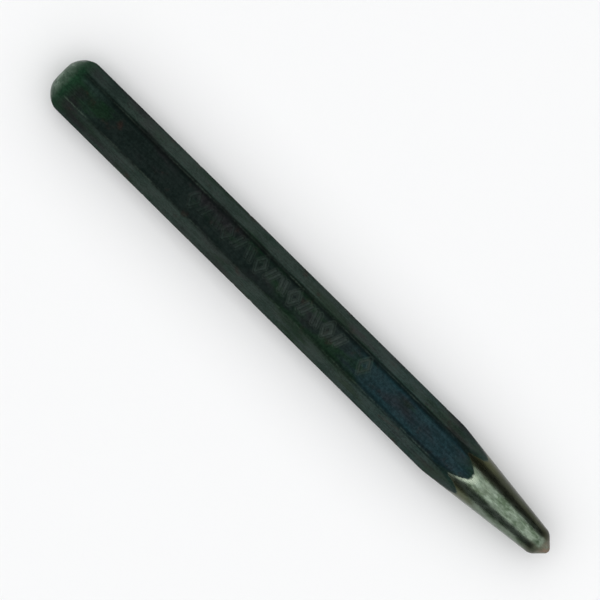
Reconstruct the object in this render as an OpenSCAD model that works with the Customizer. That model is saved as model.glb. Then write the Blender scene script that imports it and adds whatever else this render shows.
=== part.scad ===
// Center punch, forged and ground from one length of hexagonal tool steel.
// It lies on one flat of its shank with the marked flat up: +X runs out of the point,
// +Z is up, and the origin is the working point on the tool's long axis.
// The shapes are first built standing on the struck end, with the point up, then laid down.

/* [Shank] */
// Width across the flats of the hexagonal shank
across_flats = 9.525; // [8:0.025:12.7]
// Radius of the shank's six rounded corners
corner_r = 0.5; // [0.3:0.05:0.8]
// Length of the whole punch, from the struck face to the working point
overall_l = 120; // [100:1:150]

/* [Struck end] */
// Radius of the flat face that the hammer strikes
struck_face_r = 2.2; // [1.5:0.1:3]
// Radius of the rounded shoulder that is turned around the struck face
crown_r = 4.7; // [4:0.1:5.5]
// Distance of the shoulder's centre from the punch's long axis
crown_offset = 0.85; // [0.8:0.05:1]

/* [Ground end] */
// Length of the ground taper, from the corners of the shank to the shoulder of the point
taper_l = 23.7; // [18:0.1:30]
// Radius of the shoulder where the taper ends and the point begins
point_r = 2.6; // [1.5:0.1:3.2]
// Included angle of the point
point_angle = 90; // [60:5:120]
// Radius of the rounded tip of the point
tip_r = 0.95; // [0.2:0.05:1]

/* [Stamped marks] */
// Number of marks in the row
mark_count = 14; // [0:1:14]
// Distance from one mark to the next
mark_pitch = 2.72; // [2.4:0.02:2.9]
// Height of a mark, measured across the flat
mark_h = 3.2; // [2.6:0.1:3.4]
// Width of a mark, measured along the shank
mark_w = 1.9; // [1.5:0.1:2]
// Width of each stamped stroke
stroke_w = 0.42; // [0.3:0.02:0.5]
// Depth of each stamped stroke
stroke_d = 0.2; // [0.1:0.05:0.3]
// Distance of the row's centre line from the middle of the flat
mark_shift = 0.55; // [0:0.05:0.6]
// Distance from the struck face to the middle of the first mark
mark_start = 32.3; // [28:0.1:36]
// Distance from the middle of the row's last mark to the middle of the lone mark
lone_mark_gap = 6.3; // [5:0.1:9]

/* [Hidden] */

$fn = 96;
steel = [0.16, 0.21, 0.20];

// Distance from the long axis to a flat, to the centre of a corner's arc, and to the corner's outermost point
flat_reach = across_flats / 2;
corner_centre = (flat_reach - corner_r) / cos(30);
corner_reach = corner_centre + corner_r;

// A turned outline and a cut go on this far past the shank's surface, clear of the steel
clearance = 1;
clear_r = corner_reach + clearance;

// Struck end: depth of the shoulder's centre below the face, and the depth where its curve is well clear
crown_depth = sqrt(crown_r * crown_r - pow(struck_face_r - crown_offset, 2));
crown_clear_z = crown_depth - crown_r / 10;

// Ground end: where the rounded tip meets the point's cone, then the shoulder below it
tip_turn = 90 - point_angle / 2;
tip_edge_r = tip_r * sin(tip_turn);
tip_edge_z = overall_l - tip_r + tip_r * cos(tip_turn);
point_shoulder_z = tip_edge_z - (point_r - tip_edge_r) / tan(point_angle / 2);
taper_slope = (corner_reach - point_r) / taper_l;

// Reach of a slanting bar to each side of its middle, along and across the flat
slant_w = mark_w / 5;
slant_h = mark_h / 3;

// Section of the shank: a hexagon whose corners are arcs that run smoothly into the flats
module rounded_hexagon() {
    rotate(30)
        circle(r = corner_centre, $fn = 6);
    for (side = [0:5])
        rotate(60 * side) {
            translate([0, -corner_centre / 2])
                square([flat_reach, corner_centre]);
            rotate(30)
                translate([corner_centre, 0])
                    circle(r = corner_r);
        }
}

// The stock: the hexagonal bar, cut to length
module hexagonal_bar() {
    linear_extrude(height = overall_l)
        rounded_hexagon();
}

// Everything that the crowned struck end leaves: a flat face, then a rounded shoulder
module crown_envelope() {
    rotate_extrude() {
        square([struck_face_r, overall_l]);
        intersection() {
            translate([crown_offset, crown_depth])
                circle(r = crown_r);
            square([clear_r, crown_depth]);
        }
        translate([0, crown_clear_z])
            square([clear_r, overall_l - crown_clear_z]);
    }
}

// Everything that grinding the working end leaves: a long slender cone, the blunter point, a rounded tip
module ground_end_envelope() {
    rotate_extrude() {
        polygon([
            [0, 0],
            [clear_r, 0],
            [clear_r, point_shoulder_z - (clear_r - point_r) / taper_slope],
            [point_r, point_shoulder_z],
            [tip_edge_r, tip_edge_z],
            [0, tip_edge_z]
        ]);
        intersection() {
            translate([0, overall_l - tip_r])
                circle(r = tip_r);
            square([tip_r, overall_l]);
        }
    }
}

// One stamped stroke on the flat, from one place to another
module stroke(from, to) {
    run = to - from;
    translate([from.x, from.y, -stroke_d])
        rotate(atan2(run.y, run.x))
            translate([-stroke_w / 2, -stroke_w / 2, 0])
                cube([norm(run) + stroke_w, stroke_w, stroke_d + clearance]);
}

// A diamond outline
module diamond_mark() {
    corners = [[mark_w / 2, 0], [0, mark_h / 2], [-mark_w / 2, 0], [0, -mark_h / 2]];
    for (i = [0:3])
        stroke(corners[i], corners[(i + 1) % 4]);
}

// Two slanting bars side by side, which lean forward where lean is 1 and back where it is -1
module slant_mark(lean) {
    for (side = [-1, 1])
        translate([side * mark_w / 4, 0])
            stroke([-slant_w * lean, -slant_h], [slant_w * lean, slant_h]);
}

// A plain geometric mark, which changes from place to place along the row
module mark(place) {
    if (place % 3 == 0)
        diamond_mark();
    else if (place % 3 == 1)
        slant_mark(1);
    else
        slant_mark(-1);
}

// The row of marks and the lone mark after it, sunk into the top flat of the laid-down punch
module stamped_marks() {
    translate([mark_start - overall_l, mark_shift, flat_reach]) {
        for (i = [0:1:mark_count - 1])
            translate([i * mark_pitch, 0, 0])
                mark(i);
        translate([(mark_count - 1) * mark_pitch + lone_mark_gap, 0, 0])
            diamond_mark();
    }
}

// The whole tool: one bar, crowned at one end, ground to a point at the other
module punch_bar() {
    color(steel)
        difference() {
            translate([-overall_l, 0, 0])
                rotate([0, 90, 0])
                    intersection() {
                        hexagonal_bar();
                        crown_envelope();
                        ground_end_envelope();
                    }
            stamped_marks();
        }
}

punch_bar();
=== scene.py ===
"""A one-piece center punch: a blackened hexagonal bar with a crowned struck end and a ground, pointed end.

The punch lies along X with its working point at the origin, one flat on the floor and the marked flat up.
Lengths are in metres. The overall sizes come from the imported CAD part, and the rest are named below.
"""
import math
import random

import bpy
import numpy as np
from mathutils import Matrix, Vector, noise


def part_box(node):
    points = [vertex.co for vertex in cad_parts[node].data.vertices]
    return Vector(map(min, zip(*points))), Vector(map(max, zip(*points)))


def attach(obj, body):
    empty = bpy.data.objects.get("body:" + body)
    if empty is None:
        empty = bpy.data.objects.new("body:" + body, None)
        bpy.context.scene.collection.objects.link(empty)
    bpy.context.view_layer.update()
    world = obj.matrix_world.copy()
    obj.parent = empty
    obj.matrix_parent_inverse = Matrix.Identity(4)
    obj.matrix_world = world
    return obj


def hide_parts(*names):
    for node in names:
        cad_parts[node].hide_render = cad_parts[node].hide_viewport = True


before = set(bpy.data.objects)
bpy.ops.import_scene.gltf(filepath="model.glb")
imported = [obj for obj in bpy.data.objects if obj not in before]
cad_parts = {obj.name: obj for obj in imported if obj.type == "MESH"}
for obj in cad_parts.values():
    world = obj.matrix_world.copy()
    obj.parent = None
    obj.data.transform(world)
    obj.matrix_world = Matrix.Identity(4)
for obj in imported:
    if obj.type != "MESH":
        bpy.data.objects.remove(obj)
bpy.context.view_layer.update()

MM = 0.001
COS_30 = math.cos(math.radians(30))

# Shank, from the CAD part's box
LOW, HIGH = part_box("punch_bar")
HEAD_X = LOW.x
FLAT_REACH = HIGH.z
CORNER_REACH = HIGH.y
CORNER_R = (FLAT_REACH / COS_30 - CORNER_REACH) / (1 / COS_30 - 1)
CORNER_CENTRE = CORNER_REACH - CORNER_R
FLAT_HALF = CORNER_CENTRE / 2

# Struck end: a flat face with a rounded shoulder around it
STRUCK_FACE_R = 2.2 * MM
CROWN_R = 4.7 * MM
CROWN_OFFSET = 0.85 * MM
CROWN_DEPTH = math.sqrt(CROWN_R**2 - (STRUCK_FACE_R - CROWN_OFFSET) ** 2)

# Ground end: a slender taper, then the blunter point with a rounded tip
TAPER_L = 23.7 * MM
POINT_R = 2.6 * MM
POINT_HALF_ANGLE = math.radians(45)
TIP_R = 0.95 * MM
TIP_TURN = math.pi / 2 - POINT_HALF_ANGLE
POINT_APEX_X = TIP_R * (1 / math.sin(POINT_HALF_ANGLE) - 1)
SHOULDER_X = POINT_APEX_X - POINT_R / math.tan(POINT_HALF_ANGLE)
TAPER_SLOPE = (CORNER_REACH - POINT_R) / TAPER_L

# Width of the band over which each kind of edge is worn round
FACE_EDGE = 0.06 * MM
CROWN_EDGE = 0.12 * MM
TAPER_EDGE = 0.10 * MM
SHOULDER_EDGE = 0.6 * MM

# A radius far outside the bar, for the stretch of shank that is neither turned nor ground
UNCUT_R = 1.0

# How deep the grinding cuts before the oxide is gone, and the extra depth at a corner, as a share of how far
# the corner stands out past the flats
BARE_CUT = 0.19 * MM
CORNER_OXIDE = 0.35

# How ragged the oxide's edge is and how wide its change to bare steel, both as depths of cut.
# The last value is the deepest cut that is stored.
CUT_RAGGEDNESS = 0.12 * MM
CUT_BAND = 0.06 * MM
FULL_CUT = 1.0 * MM

# Width of the bands in which the values for "ground" and "crowned" rise from 0 to 1
GROUND_BAND = 0.04 * MM
CROWNED_BAND = 0.2 * MM

# Where the painted shade along the corners starts and is full, as angles from a corner's middle: the dark
# line, then the dull band round it
CREASE_LINE = (math.radians(8.5), math.radians(3))
CREASE_BAND = (math.radians(12), math.radians(5))

# Size and height of the gentle waves in the blackened and in the ground surface
BAR_WAVES = (9 * MM, 0.010 * MM)
GRIND_WAVES = (2.2 * MM, 0.007 * MM)
GRIND_STRETCH = (1, 0.6, 0.6)

# Dents in the struck end and nicks along the corners, with their smallest and largest radius and depth
DENT_COUNT = 26
DENT_REACH = 4.2 * MM
DENT_RADIUS = (0.35 * MM, 1.1 * MM)
DENT_DEPTH = (0.006 * MM, 0.03 * MM)
NICK_COUNT = 34
NICK_REACH = CORNER_REACH + 0.05 * MM
NICK_SPAN = (HEAD_X + 4 * MM, -27 * MM)
NICK_RADIUS = (0.25 * MM, 0.7 * MM)
NICK_DEPTH = (0.02 * MM, 0.06 * MM)

# Stamped marks on the top flat, which is where the bar is higher than the last of these values
MARK_COUNT = 14
MARK_PITCH = 2.72 * MM
MARK_H = 3.2 * MM
MARK_W = 1.9 * MM
MARK_SHIFT = 0.55 * MM
MARK_START = HEAD_X + 32.3 * MM
LONE_MARK_GAP = 6.3 * MM
STROKE_HALF = 0.21 * MM
STROKE_D = 0.2 * MM
STROKE_WALL = 0.22 * MM
STROKE_LIP = 0.018 * MM
TOP_FLAT_Z = 0.98 * FLAT_REACH

# Fineness of the mesh: columns across a flat or round a corner, rings along each stretch of the bar
TOP_SIDE = 1
TOP_COLUMNS = 50
SIDE_COLUMNS = 8
CORNER_COLUMNS = 6
FACE_RINGS = 14
SHOULDER_RINGS = 29
CROWN_SIDE_RINGS = 13
TAPER_SIDE_RINGS = 29
TAPER_RINGS = 79
POINT_RINGS = 22
TIP_RINGS = 14
MARK_STEP = 0.1 * MM
PLAIN_STEP = 0.34 * MM

# Room left along the shank beyond the crown's and the taper's curved edges, and beyond the row of marks
CROWN_ROOM = 0.7 * MM
TAPER_ROOM = 1.0 * MM
MARK_ROOM = 1.5 * MM

# The first ring round each pole: its share of the struck face, and its angle on the rounded tip
FACE_POLE_SHARE = 0.04
TIP_POLE_ANGLE = 0.06

SEED = 12


def add_object(name, data):
    """A new object with this data, in the scene."""
    thing = bpy.data.objects.new(name, data)
    bpy.context.scene.collection.objects.link(thing)
    return thing


def smooth_min(a, b, blend):
    """The smaller of a and b, with the corner where they cross rounded over a band as wide as blend."""
    overlap = np.maximum(blend - np.abs(a - b), 0) / blend
    return np.minimum(a, b) - overlap**2 * blend / 4


def smooth_max(a, b, blend):
    """The larger of a and b, rounded in the same way."""
    return -smooth_min(-a, -b, blend)


def smooth_step(value, start, end):
    """0 before start, 1 after end, and a smooth rise between them."""
    t = np.clip((value - start) / (end - start), 0, 1)
    return t * t * (3 - 2 * t)


# ---- Shape of the bar ----


def section_outline():
    """Points (y, z) round the rounded hexagon, and how near each is to a corner's middle, from 0 to 1."""
    outline, corner = [], []
    for side in range(6):
        normal = math.radians(30 + 60 * side)
        turn = Matrix.Rotation(normal, 2)
        count = TOP_COLUMNS if side == TOP_SIDE else SIDE_COLUMNS
        for across in np.linspace(-FLAT_HALF, FLAT_HALF, count):
            outline.append(turn @ Vector((FLAT_REACH, across)))
            corner.append(0.0)
        centre = turn @ Vector((FLAT_REACH - CORNER_R, FLAT_HALF))
        for i in range(1, CORNER_COLUMNS):
            share = i / CORNER_COLUMNS
            angle = normal + math.radians(60 * share)
            outline.append(centre + CORNER_R * Vector((math.cos(angle), math.sin(angle))))
            corner.append(1 - abs(2 * share - 1))
    return np.array(outline), np.array(corner)


def crown_x(radius):
    """Where the turned struck end reaches a radius, along the punch."""
    reach = np.clip(radius - CROWN_OFFSET, 0, CROWN_R)
    shoulder = HEAD_X + CROWN_DEPTH - np.sqrt(CROWN_R**2 - reach**2)
    return smooth_max(shoulder, np.full_like(shoulder, HEAD_X), FACE_EDGE)


def crown_radius(x):
    """Radius of the turned struck end, which ends outside the bar."""
    depth = np.clip(HEAD_X + CROWN_DEPTH - x, 0, CROWN_R)
    return CROWN_OFFSET + np.sqrt(CROWN_R**2 - depth**2)


def ground_radius(x):
    """Radius of the ground end: the taper, then the point."""
    taper = POINT_R + (SHOULDER_X - x) * TAPER_SLOPE
    point = (POINT_APEX_X - x) * math.tan(POINT_HALF_ANGLE)
    return smooth_min(taper, point, SHOULDER_EDGE)


def steps(count):
    """Even steps from just above 0 up to 1."""
    return np.linspace(0, 1, count + 1)[1:]


def rows(start, end, shares):
    """A row for each share of the way from start to end, which may differ from column to column."""
    return start + (end - start) * np.asarray(shares)[:, None]


def punch_rings(hex_radius):
    """Where each ring of the mesh lies along X and the radius that turning and grinding leave, by column.
    The rings bend with the curves where the crown and the taper cut the flats, and crowd together beside
    them, so those edges stay crisp."""
    one = np.ones_like(hex_radius)
    crown_edge_x = crown_x(hex_radius)
    taper_edge_x = SHOULDER_X - (hex_radius - POINT_R) / TAPER_SLOPE
    crown_end = crown_edge_x.max() + CROWN_ROOM
    taper_start = taper_edge_x.min() - TAPER_ROOM
    marks_start = MARK_START - MARK_ROOM
    marks_end = MARK_START + (MARK_COUNT - 1) * MARK_PITCH + LONE_MARK_GAP + MARK_ROOM

    face = rows(0 * one, STRUCK_FACE_R * one, np.linspace(FACE_POLE_SHARE, 1, FACE_RINGS))
    face_angle = math.asin((STRUCK_FACE_R - CROWN_OFFSET) / CROWN_R)
    edge_angle = np.arcsin((hex_radius - CROWN_OFFSET) / CROWN_R)
    shoulder_angles = rows(face_angle * one, edge_angle, steps(SHOULDER_RINGS))
    crown = np.vstack([face, CROWN_OFFSET + CROWN_R * np.sin(shoulder_angles)])
    crown_side = rows(crown_edge_x, crown_end * one, steps(CROWN_SIDE_RINGS) ** 2)

    def straight(start, end, step):
        return np.arange(start, end, step)[:, None] * one

    shank = np.vstack([
        straight(crown_end + PLAIN_STEP, marks_start, PLAIN_STEP),
        straight(marks_start, marks_end, MARK_STEP),
        straight(marks_end, taper_start, PLAIN_STEP),
    ])
    taper_side = rows(taper_start * one, taper_edge_x, 1 - (1 - steps(TAPER_SIDE_RINGS)) ** 2)
    taper = rows(taper_edge_x, SHOULDER_X * one, smooth_step(steps(TAPER_RINGS), 0, 1))
    tip_start_x = TIP_R * (math.cos(TIP_TURN) - 1)
    point = rows(SHOULDER_X * one, tip_start_x * one, steps(POINT_RINGS + 1)[:-1] ** 1.5)
    tip_angles = np.linspace(TIP_TURN, TIP_POLE_ANGLE, TIP_RINGS)[:, None] * one
    tip_x = TIP_R * (np.cos(tip_angles) - 1)

    x = np.vstack([crown_x(crown), crown_side, shank, taper_side, taper, point, tip_x])
    turned = np.vstack([
        crown,
        crown_radius(crown_side),
        np.full_like(shank, UNCUT_R),
        ground_radius(taper_side),
        ground_radius(taper),
        ground_radius(point),
        TIP_R * np.sin(tip_angles),
    ])
    return x, turned


# ---- Wear and stamping, as heights along the surface's normal ----


def mark_strokes():
    """The two ends (x, y) of every stamped stroke on the top flat: plain geometric marks, not letters."""
    half_w, half_h = MARK_W / 2, MARK_H / 2
    corners = [(half_w, 0), (0, half_h), (-half_w, 0), (0, -half_h)]
    diamond = [(corners[i], corners[(i + 1) % 4]) for i in range(4)]
    slant_w, slant_h = MARK_W / 5, MARK_H / 3
    forward = [((x - slant_w, -slant_h), (x + slant_w, slant_h)) for x in (-MARK_W / 4, MARK_W / 4)]
    back = [((x + slant_w, -slant_h), (x - slant_w, slant_h)) for x in (-MARK_W / 4, MARK_W / 4)]
    shapes = (diamond, forward, back)
    places = [(i * MARK_PITCH, shapes[i % 3]) for i in range(MARK_COUNT)]
    places.append(((MARK_COUNT - 1) * MARK_PITCH + LONE_MARK_GAP, diamond))
    for along, shape in places:
        origin = np.array([MARK_START + along, MARK_SHIFT])
        for a, b in shape:
            yield origin + a, origin + b


def stamping(x, y):
    """Height of the stamped marks at points on the top flat, then how far each point is sunk or on a lip.
    A stroke is sunk, with a low lip of pushed-up steel around it."""
    sunk = np.zeros_like(x)
    lip = np.zeros_like(x)
    for a, b in mark_strokes():
        near = (np.abs(x - (a[0] + b[0]) / 2) < MARK_H) & (np.abs(y - (a[1] + b[1]) / 2) < MARK_H)
        px, py = x[near] - a[0], y[near] - a[1]
        run = b - a
        share = np.clip((px * run[0] + py * run[1]) / (run @ run), 0, 1)
        distance = np.hypot(px - share * run[0], py - share * run[1])
        depth = 1 - smooth_step(distance, STROKE_HALF - STROKE_WALL / 2, STROKE_HALF + STROKE_WALL / 2)
        rise = np.exp(-(((distance - STROKE_HALF - STROKE_WALL) / (STROKE_WALL / 2)) ** 2))
        sunk[near] = np.maximum(sunk[near], depth)
        lip[near] = np.maximum(lip[near], rise)
    lip *= 1 - sunk
    return lip * STROKE_LIP - sunk * STROKE_D, sunk, lip


def noise_field(points, size, stretch=(1, 1, 1)):
    """Smooth noise from about -1 to 1 with features of about size, longer along an axis of small stretch."""
    scaled = points / size * np.array(stretch)
    return np.array([noise.noise(p) for p in scaled.reshape(-1, 3)]).reshape(points.shape[:-1])


def dimples(points, places):
    """Height of shallow round hollows, each given as (centre, radius, depth)."""
    height = np.zeros(points.shape[:-1])
    for centre, radius, depth in places:
        distance = np.linalg.norm(points - np.array(centre), axis=-1)
        height -= depth * (1 - smooth_step(distance, 0, radius))
    return height


def hammer_dents(rng):
    """Dents that hammer blows leave over the struck end."""
    for _ in range(DENT_COUNT):
        reach = DENT_REACH * math.sqrt(rng.random())
        angle = rng.uniform(0, math.tau)
        x = float(crown_x(np.array([reach]))[0])
        centre = (x, reach * math.cos(angle), reach * math.sin(angle))
        yield centre, rng.uniform(*DENT_RADIUS), rng.uniform(*DENT_DEPTH)


def corner_nicks(rng):
    """Nicks along the shank's six corners."""
    for _ in range(NICK_COUNT):
        angle = math.radians(60 * rng.randrange(6))
        centre = (rng.uniform(*NICK_SPAN), NICK_REACH * math.cos(angle), NICK_REACH * math.sin(angle))
        yield centre, rng.uniform(*NICK_RADIUS), rng.uniform(*NICK_DEPTH)


def surface_normals(grid):
    """Outward normals of a grid of points laid out as rings and columns."""
    along = np.gradient(grid, axis=0)
    around = np.roll(grid, -1, axis=1) - np.roll(grid, 1, axis=1)
    normal = np.cross(around, along)
    return normal / np.linalg.norm(normal, axis=-1, keepdims=True)


def surface_heights(grid, ground, rng):
    """How far wear, grinding and stamping move each point along its normal.
    Then how far each point is sunk in a stamped stroke, and on a stroke's lip."""
    bar_size, bar_height = BAR_WAVES
    grind_size, grind_height = GRIND_WAVES
    height = noise_field(grid, bar_size) * bar_height * (1 - ground)
    height += noise_field(grid, grind_size, GRIND_STRETCH) * grind_height * ground
    height += dimples(grid, list(hammer_dents(rng)))
    height += dimples(grid, list(corner_nicks(rng)))
    on_top_flat = (grid[..., 2] > TOP_FLAT_Z) & (ground < 0.5)
    sunk = np.zeros(grid.shape[:-1])
    lip = np.zeros(grid.shape[:-1])
    flat_points = grid[on_top_flat]
    marks, sunk[on_top_flat], lip[on_top_flat] = stamping(flat_points[:, 0], flat_points[:, 1])
    height[on_top_flat] += marks
    return height, sunk, lip


# ---- Mesh ----


def grid_faces(ring_count, column_count):
    """Quads between neighbouring rings, then a fan of triangles onto the pole vertex at each end."""
    index = np.arange(ring_count * column_count).reshape(ring_count, column_count)
    after = np.roll(index, -1, axis=1)
    quads = np.stack([index[:-1], after[:-1], after[1:], index[1:]], axis=-1).reshape(-1, 4)
    head_pole = ring_count * column_count
    faces = quads.tolist()
    faces += [(b, a, head_pole) for a, b in zip(index[0].tolist(), after[0].tolist())]
    faces += [(a, b, head_pole + 1) for a, b in zip(index[-1].tolist(), after[-1].tolist())]
    return faces


def add_point_values(mesh, name, values):
    """Stores one number on each of the mesh's points, for the material."""
    attribute = mesh.attributes.new(name, "FLOAT", "POINT")
    attribute.data.foreach_set("value", np.asarray(values, np.float32))


def build_punch():
    """The whole punch as one closed mesh, with the values that its material reads stored on its points."""
    outline, corner = section_outline()
    hex_radius = np.hypot(outline[:, 0], outline[:, 1])
    direction = outline / hex_radius[:, None]
    x, turned = punch_rings(hex_radius)
    head_half = x < HEAD_X / 2
    reach = smooth_min(hex_radius, turned, np.where(head_half, CROWN_EDGE, TAPER_EDGE))
    grid = np.stack([x, reach * direction[:, 0], reach * direction[:, 1]], axis=-1)

    past_edge = hex_radius - turned
    ground = np.where(head_half, 0, smooth_step(past_edge, -GROUND_BAND, 0))
    crowned = np.where(head_half, smooth_step(past_edge, -CROWNED_BAND / 2, CROWNED_BAND / 2), 0)
    bare = past_edge - CORNER_OXIDE * (hex_radius - FLAT_REACH)
    cut = np.where(head_half, -FULL_CUT, np.clip(bare, -FULL_CUT, FULL_CUT))
    edge = corner * (1 - ground) * (1 - crowned)
    height, sunk, lip = surface_heights(grid, ground, random.Random(SEED))
    grid += surface_normals(grid) * height[..., None]

    points = np.vstack([grid.reshape(-1, 3), [(HEAD_X, 0, 0), (0, 0, 0)]])
    mesh = bpy.data.meshes.new("center_punch")
    mesh.from_pydata(points.tolist(), [], grid_faces(*x.shape))
    # Each stored value, by ring and column, then at the head's pole and at the tip's
    for name, values, head, tip in (
        ("cut", cut, -FULL_CUT, FULL_CUT),
        ("crowned", crowned, 1, 0),
        ("edge", edge, 0, 0),
        ("sunk", sunk, 0, 0),
        ("lip", lip, 0, 0),
    ):
        add_point_values(mesh, name, np.append(values.ravel(), (head, tip)))
    mesh.shade_smooth()
    mesh.update()
    return add_object("center_punch", mesh)


# ---- Material ----


class Nodes:
    """Short calls for the nodes of one material. A value is a socket or a plain number or colour."""

    def __init__(self, material):
        material.use_nodes = True
        self.tree = material.node_tree
        self.tree.nodes.clear()
        self.place = self.tree.nodes.new("ShaderNodeTexCoord").outputs["Object"]

    def add(self, kind, inputs=None, **settings):
        node = self.tree.nodes.new(kind)
        for name, value in settings.items():
            setattr(node, name, value)
        for name, value in (inputs or {}).items():
            self.set(node.inputs[name], value)
        return node

    def set(self, socket, value):
        if isinstance(value, bpy.types.NodeSocket):
            self.tree.links.new(value, socket)
        elif isinstance(value, tuple) and len(value) == 3 and socket.type == "RGBA":
            socket.default_value = (*value, 1)
        else:
            socket.default_value = value

    def surface(self, inputs):
        """Makes the material a Principled shader with these inputs."""
        shader = self.add("ShaderNodeBsdfPrincipled", inputs)
        self.add("ShaderNodeOutputMaterial", {"Surface": shader.outputs[0]})

    def stored(self, name):
        """A value stored on the mesh's points."""
        return self.add("ShaderNodeAttribute", attribute_name=name).outputs["Fac"]

    def math(self, operation, a, b=0.0, clamp=False):
        return self.add("ShaderNodeMath", {0: a, 1: b}, operation=operation, use_clamp=clamp).outputs[0]

    def sum(self, first, *others):
        for other in others:
            first = self.math("ADD", first, other)
        return first

    def scaled(self, value, factor):
        return self.math("MULTIPLY", value, factor)

    def product(self, first, *others):
        """The values multiplied together, kept within 0 to 1 at each step."""
        for other in others:
            first = self.math("MULTIPLY", first, other, clamp=True)
        return first

    def largest(self, first, *others):
        for other in others:
            first = self.math("MAXIMUM", first, other)
        return first

    def range(self, value, start, end, low=0.0, high=1.0):
        """The value mapped smoothly from start..end to low..high."""
        inputs = {"Value": value, "From Min": start, "From Max": end, "To Min": low, "To Max": high}
        return self.add("ShaderNodeMapRange", inputs, interpolation_type="SMOOTHSTEP").outputs["Result"]

    def blend(self, factor, a, b):
        """Colour a where factor is 0 and colour b where it is 1."""
        node = self.add("ShaderNodeMix", data_type="RGBA")
        self.set(node.inputs[0], factor)
        self.set(node.inputs[6], a)
        self.set(node.inputs[7], b)
        return node.outputs[2]

    def lerp(self, factor, a, b):
        """Value a where factor is 0 and value b where it is 1."""
        return self.add("ShaderNodeMix", {0: factor, 2: a, 3: b}, data_type="FLOAT").outputs[0]

    def noise(self, size, stretch=(1, 1, 1), detail=3.0, rough=0.5, offset=0.0):
        """Noise with features of about size, longer along an axis where stretch is small."""
        scale = tuple(share / size for share in stretch)
        moved = {"Vector": self.place, "Location": (offset, offset, offset), "Scale": scale}
        place = self.add("ShaderNodeMapping", moved).outputs[0]
        inputs = {"Vector": place, "Scale": 1.0, "Detail": detail, "Roughness": rough}
        return self.add("ShaderNodeTexNoise", inputs).outputs["Fac"]

    def along(self, axis):
        """The position along X, Y or Z."""
        return self.add("ShaderNodeSeparateXYZ", {0: self.place}).outputs[axis]

    def corner_angle(self):
        """The angle round the bar from the nearest of its six corners, in radians."""
        return self.math("PINGPONG", self.math("ARCTAN2", self.along("Z"), self.along("Y")), math.pi / 6)

    def from_head(self, start, end, low=0.0, high=1.0):
        """A value that goes from low to high between two distances from the struck face."""
        return self.range(self.along("X"), HEAD_X + start, HEAD_X + end, low, high)

    def from_tip(self, start, end, low=0.0, high=1.0):
        """A value that goes from low to high between two distances from the working point."""
        return self.range(self.along("X"), -start, -end, low, high)

    def on_top(self, low=0.0, high=1.0):
        """A value that is high on the marked flat and low on the other five."""
        return self.range(self.along("Z"), FLAT_REACH - 0.3 * MM, FLAT_REACH - 0.1 * MM, low, high)


# The oxide: at the struck end, on the plain and the marked middle, before the taper, and a lighter black for
# the other flats, which is a painted reflection of the floor
BLACK_HEAD = (0.0165, 0.0325, 0.0260)
BLACK_MIDDLE = (0.0062, 0.0130, 0.0110)
BLACK_MARKED = (0.0086, 0.0158, 0.0140)
BLACK_BLUE = (0.0105, 0.0335, 0.0400)
BLACK_SIDE_PAINTED_LIGHT = (0.0225, 0.0465, 0.0345)

# Tints that drift over the oxide, then the green of the crown
BLACK_LEAF = (0.0055, 0.0240, 0.0090)
BLACK_VIOLET = (0.0155, 0.0120, 0.0155)
BLACK_BROWN = (0.0300, 0.0150, 0.0110)
CROWN_GREEN = (0.0110, 0.0420, 0.0200)

# Steel that shows through where the oxide is worn, and dirt that has stayed in it, a black that also paints
# the shade along the corners
WORN_EDGE = (0.15, 0.21, 0.16)
WORN_STROKE = (0.030, 0.042, 0.036)
GRIME_AND_CREASE_SHADE = (0.0020, 0.0035, 0.0030)

# The ground end: clean and stained steel, painted shade on its +Y side and on the point's flanks, its heel, a
# painted highlight at its rim, the tip
GROUND_STEEL = (0.165, 0.205, 0.160)
GROUND_DARK = (0.055, 0.080, 0.050)
GROUND_SHADE = (0.040, 0.042, 0.024)
GROUND_OLIVE = (0.070, 0.075, 0.035)
GROUND_HIGHLIGHT = (0.32, 0.38, 0.29)
TIP_BROWN = (0.190, 0.135, 0.098)


def blackened_colour(n, speckle):
    """Oxide black that drifts to green, violet and brown, bluer toward the taper, mottled by the speckle,
    with the other five flats painted lighter as a painted reflection.
    """
    body = n.blend(n.from_head(12 * MM, 6 * MM), BLACK_MIDDLE, BLACK_HEAD)
    body = n.blend(n.from_tip(75 * MM, 60 * MM), body, BLACK_MARKED)
    body = n.blend(n.from_tip(55 * MM, 38 * MM), body, BLACK_BLUE)
    # Painted reflection: the five flats other than the top one get the lighter black
    side = n.blend(n.from_head(14 * MM, 8 * MM), BLACK_SIDE_PAINTED_LIGHT, BLACK_HEAD)
    body = n.blend(n.on_top(), n.blend(0.7, body, side), body)
    leaf = n.range(n.noise(7 * MM, (0.6, 1.8, 1.8), 4, offset=11.3), 0.50, 0.64, 0.0, 0.8)
    body = n.blend(leaf, body, BLACK_LEAF)
    violet = n.range(n.noise(8 * MM, (0.6, 1.8, 1.8), 4, offset=3.1), 0.48, 0.66, 0.0, 0.65)
    body = n.blend(violet, body, BLACK_VIOLET)
    brown = n.range(n.noise(3.2 * MM, detail=4, offset=7.7), 0.60, 0.76, 0.0, 0.6)
    body = n.blend(brown, body, BLACK_BROWN)
    body = n.blend(n.from_head(5 * MM, 2 * MM), body, CROWN_GREEN)
    return n.blend(n.range(speckle, 0.36, 0.66, 0.55, 0.0), body, GRIME_AND_CREASE_SHADE)


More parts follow.
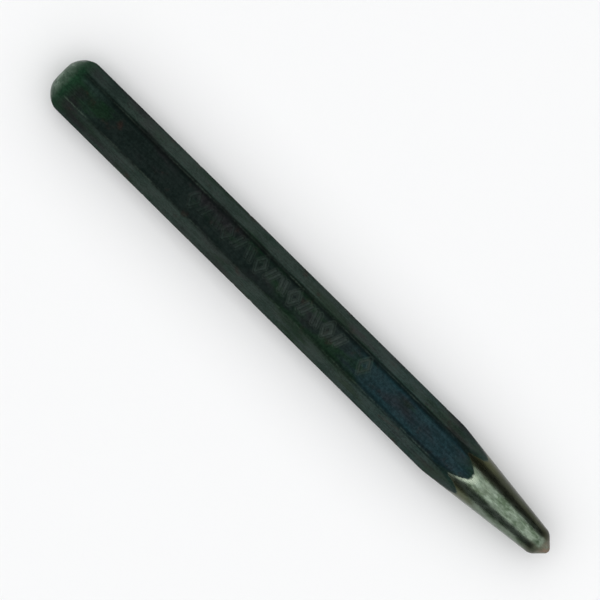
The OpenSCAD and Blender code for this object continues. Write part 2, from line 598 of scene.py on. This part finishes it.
def oxide_wear(n, grain, rubbed):
    """How far the oxide is worn through: at the corners, round the struck face and on the marks' lips.
    Then how pale the bottoms of the marks are."""
    # There is more of it just behind the crown on the -Y side, and the marks are paler toward the taper
    handled = n.product(n.from_head(10 * MM, 7 * MM), n.range(n.along("Y"), 1 * MM, 0))
    patches = n.sum(n.noise(3 * MM, (0.5, 1, 1), 6, 0.65, offset=1.3), n.scaled(handled, 0.2))
    chipped = n.product(n.range(patches, 0.45, 0.75, 0.06, 0.40), n.range(grain, 0.36, 0.6, 0.3, 1.0))
    corner = n.product(n.stored("edge"), chipped)
    rim = n.product(n.from_head(2.6 * MM, -0.3 * MM), n.range(rubbed, 0.4, 1.1, 0.6, 1.3))
    marks = n.product(n.from_tip(82 * MM, 62 * MM, 0.18, 0.80), n.range(rubbed, 0.3, 0.9, 0.6, 1.0))
    lip = n.product(n.stored("lip"), n.scaled(marks, 0.15))
    return n.largest(corner, rim, lip), n.product(n.stored("sunk"), marks)


def crease_painted_shade(n):
    """Painted shade along the bar's corners: a narrow dark line, then a wider band in which the surface is
    dull.
    There is less of it on the -Y side and low down, and none on the crown."""
    near_side = n.from_tip(60 * MM, 42 * MM, 0.35, 0.75)
    crease_shade_amount = n.product(
        n.range(n.along("Y"), -0.5 * MM, 0.5 * MM, near_side, 1.0),
        n.range(n.along("Z"), 1.5 * MM, 3.5 * MM, 0.5, 1.0),
        n.range(n.stored("crowned"), 1.0, 0.0),
        n.range(n.noise(2.5 * MM, (0.4, 1, 1), 4, 0.6, offset=5.7), 0.3, 0.6, 0.65, 1.0),
    )
    angle = n.corner_angle()
    return n.product(crease_shade_amount, n.range(angle, *CREASE_LINE)), n.product(crease_shade_amount, n.range(angle, *CREASE_BAND))


def blackened_look(n):
    """Colour, metalness, roughness, relief and reflectivity of the oxide-blackened bar."""
    grain = n.noise(0.45 * MM, detail=5, rough=0.65)
    drawn = n.noise(0.3 * MM, (0.03, 1, 1), 4, 0.6, offset=8.8)
    speckle = n.lerp(0.35, grain, drawn)
    rub = n.range(n.noise(1.6 * MM, (0.25, 1, 1), 5, offset=1.3), 0.45, 0.7)
    worn, stroke = oxide_wear(n, grain, n.sum(rub, n.scaled(grain, 0.8)))
    crease_line, crease_band = crease_painted_shade(n)

    colour = n.blend(stroke, blackened_colour(n, speckle), WORN_STROKE)
    # Painted shade: a dark line along the corners
    colour = n.blend(n.scaled(crease_line, 0.7), colour, GRIME_AND_CREASE_SHADE)
    colour = n.blend(n.scaled(worn, 0.8), colour, WORN_EDGE)
    rough = n.sum(n.range(grain, 0.3, 0.7, 0.28, 0.44), n.scaled(worn, -0.05))
    relief = n.sum(n.scaled(grain, 0.012 * MM), n.scaled(rub, 0.004 * MM), n.scaled(drawn, 0.005 * MM))
    mottle = n.sum(speckle, n.noise(4 * MM, detail=3, offset=6.1))
    sheen = n.product(
        n.range(mottle, 0.8, 1.2, 0.030, 0.095),
        n.from_head(8 * MM, 16 * MM, 0.45, 1.0),
        # The painted shade's wider band makes the surface beside the corners reflect less
        n.range(crease_band, 0.0, 1.0, 1.0, 0.1),
        n.on_top(0.65, 1.0),
    )
    return colour, n.scaled(worn, 0.9), rough, relief, sheen


def grind_edge_highlight(n, streaks):
    """A painted highlight along the rim where the grinding has only just cut through the oxide of the marked
    flat, 0 to 1.
    """
    y = n.along("Y")
    return n.product(
        n.range(n.stored("cut"), 0.42 * MM, 0.24 * MM),
        n.range(n.along("Z"), 3.4 * MM, 4.2 * MM),
        n.range(y, 1.4 * MM, -0.4 * MM),
        n.range(y, -2.7 * MM, -1.6 * MM, 0.1, 1.0),
        n.range(streaks, 0.3, 0.6, 0.4, 1.0),
    )


def point_shade_and_tip(n, colour):
    """The colour with painted shade on both flanks of the point, more of it on the +Y flank, and brown at its
    tip.
    """
    y = n.along("Y")
    flank = n.math("ABSOLUTE", n.sum(y, -0.25 * MM))
    # Painted shade on both flanks of the point
    flank_shade = n.product(
        n.range(flank, 0.6 * MM, 1.2 * MM),
        n.from_tip(0.9 * MM, 2.0 * MM),
        n.from_tip(5.5 * MM, 2.8 * MM, 0.0, 0.8),
    )
    colour = n.blend(flank_shade, colour, GROUND_SHADE)
    far_flank_shade = n.product(n.range(y, 0.2 * MM, 1.0 * MM, 0.0, 0.4), n.from_tip(3.0 * MM, 2.0 * MM))
    colour = n.blend(far_flank_shade, colour, GROUND_SHADE)
    patchy = n.range(n.noise(0.9 * MM, detail=3, offset=4.4), 0.35, 0.6, 0.25, 0.95)
    return n.blend(n.product(n.from_tip(2.2 * MM, 0.4 * MM), patchy), colour, TIP_BROWN)


def ground_look(n):
    """Colour, metalness, roughness, relief and reflectivity of the ground taper and point."""
    patches = n.range(n.noise(1.5 * MM, (0.5, 1, 1), 5, 0.65, offset=5.2), 0.34, 0.60)
    streaks = n.noise(0.36 * MM, (0.22, 1, 1), 5, 0.7, offset=2.2)
    rings = n.noise(0.12 * MM, (1, 0.05, 0.05), 3, 0.6, offset=9.4)
    colour = n.blend(patches, GROUND_DARK, GROUND_STEEL)
    colour = n.blend(n.range(streaks, 0.40, 0.75, 0.0, 0.4), colour, GROUND_DARK)
    # Painted shade: the taper darkened toward its +Y side
    colour = n.blend(n.range(n.along("Y"), 1.0 * MM, 2.2 * MM, 0.0, 0.88), colour, GROUND_SHADE)

    heel = n.product(
        n.range(n.stored("cut"), 0.8 * MM, 0.3 * MM),
        n.range(n.along("Z"), 4.4 * MM, 3.8 * MM, 0.0, 0.8),
    )
    colour = n.blend(heel, colour, GROUND_OLIVE)
    # Painted highlight along the edge of the grind, high on the -Y side
    edge_highlight = grind_edge_highlight(n, streaks)
    colour = point_shade_and_tip(n, n.blend(edge_highlight, colour, GROUND_HIGHLIGHT))
    dull = n.range(n.along("X"), SHOULDER_X - 1.4 * MM, SHOULDER_X + 0.2 * MM, 0.0, 0.18)
    rough = n.sum(n.range(streaks, 0.3, 0.7, 0.22, 0.36), dull)
    relief = n.sum(n.scaled(streaks, 0.004 * MM), n.scaled(rings, 0.003 * MM))
    return colour, n.lerp(edge_highlight, 1.0, 0.4), rough, relief, 0.5


def punch_material():
    """Blackened steel with a bare ground end, parted by a ragged line at a set depth of grinding."""
    material = bpy.data.materials.new("punch_steel")
    n = Nodes(material)
    black = blackened_look(n)
    bare = ground_look(n)
    uneven = n.scaled(n.sum(n.noise(0.5 * MM, detail=4), -0.5), CUT_RAGGEDNESS)
    cut = n.sum(n.stored("cut"), uneven)
    ground = n.range(cut, BARE_CUT - CUT_BAND / 2, BARE_CUT + CUT_BAND / 2)
    metal, rough, relief, sheen = (n.lerp(ground, a, b) for a, b in zip(black[1:], bare[1:]))
    bump = n.add("ShaderNodeBump", {"Height": relief, "Strength": 1.0, "Distance": 1.0})
    n.surface({
        "Base Color": n.blend(ground, black[0], bare[0]),
        "Metallic": metal,
        "Roughness": rough,
        "Specular IOR Level": sheen,
        "Normal": bump.outputs[0],
    })
    return material


# ---- Stage ----

FLOOR_SIZE = 6.0
FLOOR_GAP = 0.02 * MM
FLOOR_COLOUR = (0.86, 0.86, 0.86)
SKY_COLOUR = (0.9, 0.95, 1.0, 1)
SKY_STRENGTH = 0.12

# How wide the picture is at the punch, how far the punch is turned in it, and how far it is off centre
PICTURE_WIDTH = 105.45 * MM
AXIS_TURN = math.radians(44.6)
PICTURE_SHIFT = (-0.92 * MM, 2.13 * MM)
CAMERA_HEIGHT = 1.6


def make_floor():
    """A pale square just under the punch."""
    half = FLOOR_SIZE / 2
    z = LOW.z - FLOOR_GAP
    mesh = bpy.data.meshes.new("floor")
    corners = [(-half, -half, z), (half, -half, z), (half, half, z), (-half, half, z)]
    mesh.from_pydata(corners, [], [(0, 1, 2, 3)])
    material = bpy.data.materials.new("pale_floor")
    Nodes(material).surface({"Base Color": FLOOR_COLOUR, "Roughness": 0.9})
    mesh.materials.append(material)
    add_object("floor", mesh)


def softbox(name, place, size, power, in_reflections):
    """A rectangular soft light that faces the punch and is never in the picture itself.
    It shows only in reflections, or else it lights everything and shows in none."""
    light = bpy.data.lights.new(name, "AREA")
    light.shape = "RECTANGLE"
    light.size, light.size_y = size
    light.energy = power
    lamp = add_object(name, light)
    lamp.location = place
    lamp.rotation_euler = ((LOW + HIGH) / 2 - Vector(place)).to_track_quat("-Z", "Y").to_euler()
    lamp.visible_camera = False
    lamp.visible_diffuse = not in_reflections
    lamp.visible_glossy = in_reflections


def make_lights():
    """A broad light from above, soft reflections on the top and at both ends, and a dim sky."""
    softbox("overhead_softbox", (-0.06, 0.0, 1.5), (6.0, 6.0), 135.0, in_reflections=False)
    softbox("key_softbox", (0.25, 0.0, 0.80), (1.3, 0.24), 2.4, in_reflections=True)
    softbox("head_softbox", (-0.9, 0.0, 0.85), (2.4, 0.8), 9.0, in_reflections=True)
    softbox("tip_softbox", (1.1, 0.0, 0.60), (2.4, 0.8), 13.0, in_reflections=True)
    world = bpy.data.worlds.new("studio")
    world.use_nodes = True
    background = world.node_tree.nodes["Background"]
    background.inputs["Color"].default_value = SKY_COLOUR
    background.inputs["Strength"].default_value = SKY_STRENGTH
    bpy.context.scene.world = world


def make_camera():
    """Looks straight down with a long lens, turned so that the punch points down to the right."""
    right = Vector((math.cos(AXIS_TURN), math.sin(AXIS_TURN), 0))
    up = Vector((-math.sin(AXIS_TURN), math.cos(AXIS_TURN), 0))
    middle = (LOW + HIGH) / 2 + right * PICTURE_SHIFT[0] + up * PICTURE_SHIFT[1]
    data = bpy.data.cameras.new("camera")
    data.lens = data.sensor_width * CAMERA_HEIGHT / PICTURE_WIDTH
    data.clip_start = CAMERA_HEIGHT / 100
    data.clip_end = CAMERA_HEIGHT * 10
    camera = add_object("camera", data)
    turn = Matrix((right, up, Vector((0, 0, 1)))).transposed().to_4x4()
    camera.matrix_world = Matrix.Translation(middle + Vector((0, 0, CAMERA_HEIGHT))) @ turn
    bpy.context.scene.camera = camera


punch = build_punch()
punch.data.materials.append(punch_material())
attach(punch, "root")
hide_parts("punch_bar")
make_floor()
make_lights()
make_camera()
bpy.context.scene.view_settings.view_transform = "Standard"
